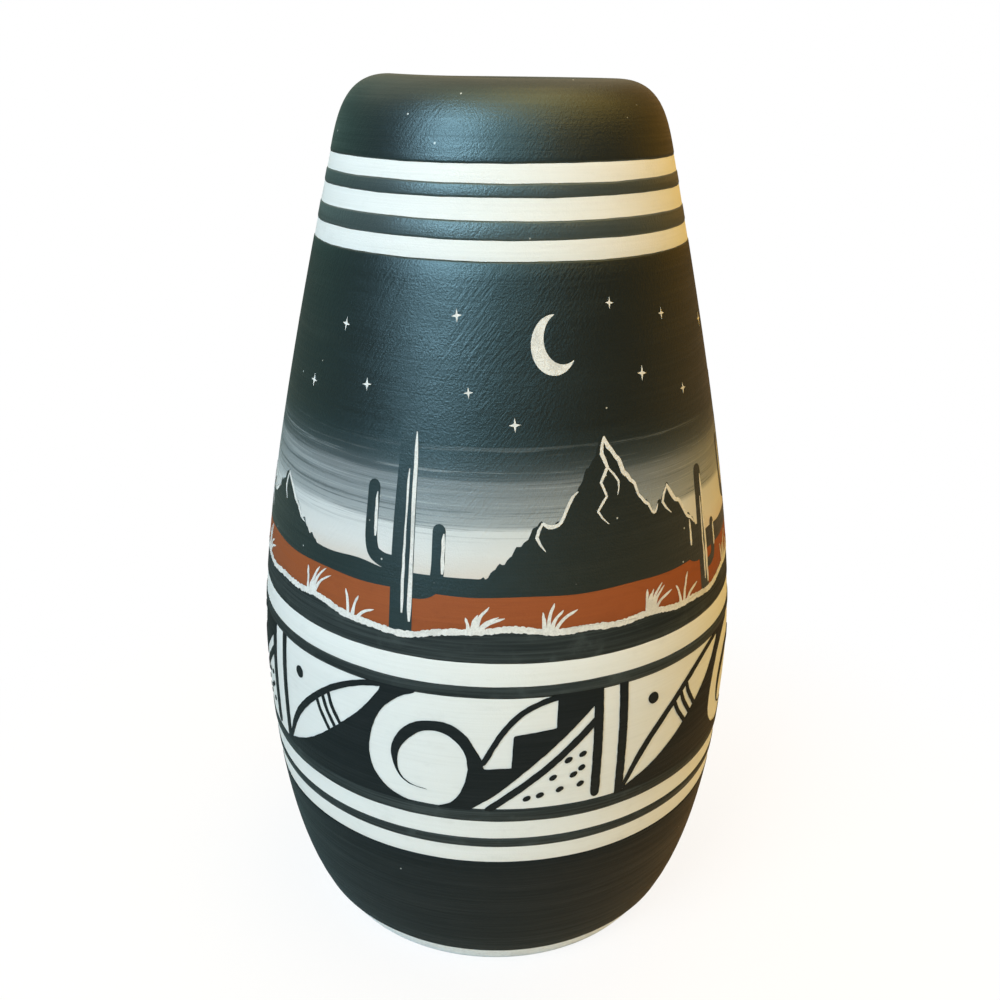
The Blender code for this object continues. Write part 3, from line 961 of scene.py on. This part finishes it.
def cactus(foot, tall, scale):
    """Black strokes of a cactus with two arms, and the scratches on its lit side."""
    foot_height = float(dunes(np.array(foot))) - 0.6

    def at(across, up):
        return (foot + across * scale, foot_height + up * tall)

    wide = 4.3 * scale
    body = [
        stroke([at(0, 1.0), at(-0.2, 0.5), at(0, 0)], [wide * 0.85, wide, wide], round_end=False),
        stroke([at(0, 0.35), at(-4.6, 0.36), at(-6.7, 0.43), at(-6.9, 0.69)], wide * 0.6),
        stroke([at(0, 0.23), at(4.4, 0.24), at(6.3, 0.31), at(6.5, 0.53)], wide * 0.56),
    ]
    lit = [
        scratch([at(1.6, 0.08), at(1.5, 0.5), at(1.35, 0.97)], 0.75, 0.9),
        scratch([at(0.2, 0.12), at(0.1, 0.45), at(0.2, 0.8)], 0.5, 0.8),
        scratch([at(7.3, 0.33), at(7.4, 0.52)], 0.65, 0.8),
        scratch([at(-6.0, 0.46), at(-6.1, 0.67)], 0.65, 0.8),
    ]
    return body, lit


def grass(foot, blades, lean):
    """Scratched blades that fan out and bend with the wind."""
    lines = []
    for blade in range(blades):
        share = blade / (blades - 1) - 0.5
        root = foot + 1.6 * share
        tall = chance.uniform(3.4, 6.8) * (1 - 0.5 * abs(share))
        bend = lean * chance.uniform(0.6, 1.2) + 5.0 * share
        base = float(dunes(np.array(root))) - 0.2
        blade_path = [(root, base), (root + 0.4 * bend, base + 0.62 * tall), (root + bend, base + tall)]
        lines.append(scratch(blade_path, 0.75, taper=0.45, bend=3))
    return lines


plants, lit_lines = [], []
for foot, tall, scale in (
    (-17, 36.5, 1), (46, 23.5, 0.75), (-73, 30.5, 0.9), (-112, 25.5, 0.8), (68, 33.5, 0.95),
    (112, 27.5, 0.85), (-147, 34.5, 1),
):
    body, lit = cactus(foot, tall, scale)
    plants += body
    lit_lines += lit
lay_on("cacti", plants, PLANT_LIFT, black_slip)
for foot, blades, lean in (
    (-38, 5, 2.4), (-27, 3, 1.8), (-4, 6, 2.6), (9, 4, 2), (29, 6, 2.4), (38, 3, 1.6),
    (57, 4, 2.2), (80, 6, 2.5), (99, 4, 2), (126, 6, 2.4), (-60, 5, 2), (-88, 6, 2.4),
    (-126, 5, 2.2),
):
    lit_lines += grass(foot, blades, lean)
lay_on("scratched_plants", lit_lines, SCRATCH_LIFT, scratch_white)
print("plant strokes:", len(plants), "scratches:", len(lit_lines))

# %% [markdown]
# Two lines run down from each summit, one along its lit edge and a jagged one down its face. On tall peaks a
# shorter line branches off. The moon is the outline between two circles, and a star is a four-pointed spark.

# %% Ridges, moon and stars
MOON_POINTS, BACK_STARS = 90, 12
STAR_SIZES = (0.9, 1.5)


def ridge_lines(middle, rise, half):
    """A line from a summit down its lit edge, a jagged one down its face, and a branch on tall peaks."""
    top = PLAIN_HEIGHT + rise
    marks = np.linspace(middle, middle + 0.62 * half, max(4, int(rise / 1.4)))
    lit_edge = np.column_stack([marks, skyline(marks) - 0.35])
    face = [(middle, top - 0.6)]
    for step in range(1, max(3, int(rise / 3.2))):
        aside = (-1) ** step * chance.uniform(0.4, 1.3)
        face.append((middle + aside - 0.12 * step, top - 0.6 - 2.4 * step))
    lines = [scratch(lit_edge, 0.85, taper=0.6, bend=1), scratch(face, 0.75, taper=0.5, bend=1)]
    if len(face) > 3:
        x, y = face[2]
        branch = [(x, y), (x + 2.2, y - 2.6), (x + 1.8, y - 5.0)]
        lines.append(scratch(branch, 0.65, taper=0.5, bend=1))
    return lines


def crescent(middle, radius, bite, shift):
    """Outline between a disc and the smaller disc that bites into it."""
    circle = on_circle(np.linspace(0, 2 * math.pi, MOON_POINTS, endpoint=False))
    rim_points = circle * radius
    bite_points = shift + circle * bite
    outer = rim_points[np.linalg.norm(rim_points - shift, axis=1) > bite]
    inner = bite_points[np.linalg.norm(bite_points, axis=1) < radius]
    way = math.atan2(shift[1], shift[0])
    outer = outer[np.argsort((np.arctan2(outer[:, 1], outer[:, 0]) - way) % (2 * math.pi))]
    spread = np.arctan2(inner[:, 1] - shift[1], inner[:, 0] - shift[0])
    inner = inner[np.argsort((spread - way) % (2 * math.pi))[::-1]]
    return np.array(middle) + np.vstack([outer, inner])


def star(middle, size):
    """A four-pointed spark."""
    turn = np.arange(8) * math.pi / 4 + chance.uniform(-0.15, 0.15)
    reach = np.where(np.arange(8) % 2 == 0, size, size * 0.28)
    return np.array(middle) + np.stack([np.sin(turn), np.cos(turn)], axis=1) * reach[:, None]


night = [crescent((11.0, rust_high + 41.0), radius=4.8, bite=4.1, shift=np.array([1.9, 1.0]))]
for across, up in (
    (-36, 42), (-28, 33), (-9, 45.5), (-6, 33.5), (3, 28.5), (24, 47), (31, 35),
    (39, 44), (44, 30.5), (-45, 31),
):
    night.append(star((across, rust_high + up), chance.uniform(*STAR_SIZES)))
for number in range(BACK_STARS):
    up = 31.0 + 16.0 * chance.random()
    night.append(star((60.0 + 15.0 * number, rust_high + up), chance.uniform(*STAR_SIZES)))
for peak in PEAKS:
    night += ridge_lines(*peak)
lay_on("scratched_night", night, SCRATCH_LIFT, scratch_white)
print("night marks:", len(night))

# %% [markdown]
# The floor is pale and plain. The camera sees mostly its own white, and it still takes a soft shadow. In the
# pot's reflections the floor is dimmer, cool on the left and warm on the right, and the light that it throws
# up on the right is warm too.

# %% Floor
MIRRORED = 0.05  # how much of the white background a reflection shows
TABLE_LEFT = (0.42, 0.68, 0.74)  # how much of the floor a reflection shows, left and right of the pot
TABLE_RIGHT = (0.95, 0.66, 0.34)
FLOOR_RIGHT = (1.0, 0.84, 0.42)  # tint of the light that the floor throws up on the right
FLOOR_WHITE = (0.05, 0.16, 0.84, 1.0)  # two distances in metres, and the share of white at each
FLOOR_BOUNCE = (0.06, 0.14, 0.85, 0.33)  # the same for how pale it is
FLOOR_SEEN = 0.9  # how pale the camera sees it
FLOOR_REACH = 4.0
WHITE_LIGHT = (1.0, 1.0, 1.0)


def white_share(tree, rays, back, low, high):
    """How much of the background's white shows: all to the camera, a little to reflections."""
    mirrored = times(tree, rays["Is Glossy Ray"], span(tree, back, low, high, 0.0, MIRRORED))
    seen = maths(tree, "MAXIMUM", rays["Is Camera Ray"], rays["Is Transmission Ray"])
    return maths(tree, "MAXIMUM", seen, mirrored)


def make_floor():
    finish = bpy.data.materials.new("pale_floor")
    finish.use_nodes = True
    tree = finish.node_tree
    tree.nodes.clear()
    place = node(tree, "ShaderNodeTexCoord").outputs["Object"]
    far = node(tree, "ShaderNodeVectorMath", {"operation": "LENGTH"}, Vector=place).outputs["Value"]
    way = node(tree, "ShaderNodeSeparateXYZ", None, Vector=place).outputs
    rays = node(tree, "ShaderNodeLightPath").outputs
    seen = white_share(tree, rays, way["Y"], -0.55, -0.25)
    seen = times(tree, seen, span(tree, far, *FLOOR_WHITE))
    bounce = span(tree, far, *FLOOR_BOUNCE)
    pale = maths(tree, "MAXIMUM", bounce, times(tree, rays["Is Camera Ray"], FLOOR_SEEN))
    table = blend(tree, span(tree, way["X"], -0.08, 0.08), TABLE_LEFT, TABLE_RIGHT)
    pale = blend(tree, rays["Is Glossy Ray"], pale, table, "MULTIPLY")
    warmed = times(tree, rays["Is Diffuse Ray"], span(tree, way["X"], 0.02, 0.20))
    pale = blend(tree, warmed, pale, FLOOR_RIGHT, "MULTIPLY")
    matte = node(tree, "ShaderNodeBsdfDiffuse", None, Color=pale).outputs["BSDF"]
    white = node(tree, "ShaderNodeEmission", None, Color=WHITE_LIGHT, Strength=1.0).outputs["Emission"]
    mixed = node(tree, "ShaderNodeMixShader")
    for socket, value in zip(mixed.inputs, (seen, matte, white)):
        plug(tree, socket, value)
    node(tree, "ShaderNodeOutputMaterial", None, Surface=mixed.outputs[0])
    return finish


floor_mesh = bpy.data.meshes.new("floor")
corners = [(x * FLOOR_REACH, y * FLOOR_REACH, 0.0) for x, y in ((-1, -1), (1, -1), (1, 1), (-1, 1))]
floor_mesh.from_pydata(corners, [], [(0, 1, 2, 3)])
floor_mesh.materials.append(make_floor())
floor = add_object("floor", floor_mesh)
print("floor across:", 2 * FLOOR_REACH, "m")

# %% [markdown]
# Five soft lamps light the pot: a cool one in front on the left, as a window would, a warm one overhead, a
# weaker bluish fill in front, a warm one high on the right and a weak warm one behind.

# %% Lamps
LAMP_AIM = np.array([0.0, 0.0, 0.085])


def soft_lamp(name, azimuth, elevation, distance, size, colour, power):
    """A square-on area lamp aimed at the pot. Azimuth 0 is in front, positive to the viewer's right."""
    lamp = bpy.data.lights.new(name, "AREA")
    lamp.shape = "RECTANGLE"
    lamp.size, lamp.size_y = size
    lamp.color = colour
    lamp.energy = power
    made = add_object(name, lamp)
    a, e = math.radians(azimuth), math.radians(elevation)
    way = np.array([math.sin(a) * math.cos(e), -math.cos(a) * math.cos(e), math.sin(e)])
    made.location = LAMP_AIM + distance * way
    made.rotation_euler = (math.pi / 2 - e, 0.0, a)
    made.visible_camera = False
    return made


lamps = [
    soft_lamp("window", -38.0, 34.5, 0.9, (0.43, 0.62), (0.65, 0.82, 1.0), 6.8),
    soft_lamp("overhead", 0.0, 80.0, 1.0, (1.0, 0.8), (1.0, 0.90, 0.58), 2.9),
    soft_lamp("front_fill", -5.0, 40.0, 1.0, (0.9, 0.8), (0.60, 0.90, 1.0), 3.0),
    soft_lamp("warm_side", 70.0, 65.0, 1.0, (1.2, 1.0), (1.0, 0.49, 0.07), 5.7),
    soft_lamp("behind", 205.0, 60.0, 0.9, (1.3, 0.9), (1.0, 0.80, 0.56), 2.2),
]
print("lamps:", [lamp.name for lamp in lamps])

# %% [markdown]
# The room round the pot is dim. It has a warm wall behind on the right and a cool one behind on the left,
# which the pot's edges reflect. Two soft fills light the back and the right side and stay out of the
# reflections. The camera sees plain white.

# %% Room
WARM_WALL = (0.46, 0.20, 0.02)
COOL_WALL = (0.15, 0.29, 0.24)
BACK_LEFT = (0.60, 0.74, 0.92)
BACK_RIGHT = (0.74, 0.53, 0.16)
SIDE_FILL = (0.60, 0.40, 0.03)
WALL_ASIDE, WALL_BACK = 0.6, 0.8  # the way to the middle of a wall
WALL_SPREAD, FILL_SPREAD = (0.4, 0.95), (0.1, 0.8)  # how near to its middle each starts and is in full

scene = bpy.context.scene
world = bpy.data.worlds.new("studio")
scene.world = world
world.use_nodes = True
sky = world.node_tree
rays = node(sky, "ShaderNodeLightPath").outputs
way = node(sky, "ShaderNodeTexCoord").outputs["Generated"]
way = node(sky, "ShaderNodeSeparateXYZ", None, Vector=way).outputs
seen = white_share(sky, rays, way["Y"], 0.70, 0.92)
room = (0.0, 0.0, 0.0)
for aside, colour in ((WALL_ASIDE, WARM_WALL), (-WALL_ASIDE, COOL_WALL)):
    back = times(sky, way["Y"], WALL_BACK)
    aimed = maths(sky, "ADD", times(sky, way["X"], aside), back)
    room = blend(sky, span(sky, aimed, *WALL_SPREAD), room, colour, "ADD")
back_fill = blend(sky, span(sky, way["X"], -0.6, 0.6), BACK_LEFT, BACK_RIGHT)
for axis, colour in (("Y", back_fill), ("X", SIDE_FILL)):
    filled = times(sky, rays["Is Diffuse Ray"], span(sky, way[axis], *FILL_SPREAD))
    room = blend(sky, filled, room, colour, "ADD")
feed(sky, sky.nodes["Background"], Color=blend(sky, seen, room, WHITE_LIGHT))
print("room nodes:", len(sky.nodes))

# %% [markdown]
# The camera stands where the photograph was taken, close to the pot and about level with its lip.

# %% Camera
CAMERA_PLACE = (0.0, -0.2095, 0.16915)
CAMERA_PITCH = math.radians(21.684)
CAMERA_ROLL = math.radians(0.672)
SENSOR = 36.0
FOCAL = 1.0872  # focal length in widths of the sensor

camera_data = bpy.data.cameras.new("photo_camera")
camera_data.sensor_width = SENSOR
camera_data.lens = SENSOR * FOCAL
camera_data.shift_x = 0.00186
camera_data.clip_start = 0.01
camera = add_object("photo_camera", camera_data)
camera.location = CAMERA_PLACE
camera.rotation_mode = "QUATERNION"
turn = Matrix.Rotation(math.pi / 2 - CAMERA_PITCH, 3, "X") @ Matrix.Rotation(CAMERA_ROLL, 3, "Z")
camera.rotation_quaternion = turn.to_quaternion()
scene.camera = camera
scene.view_settings.view_transform = "Standard"
print("camera at", CAMERA_PLACE)
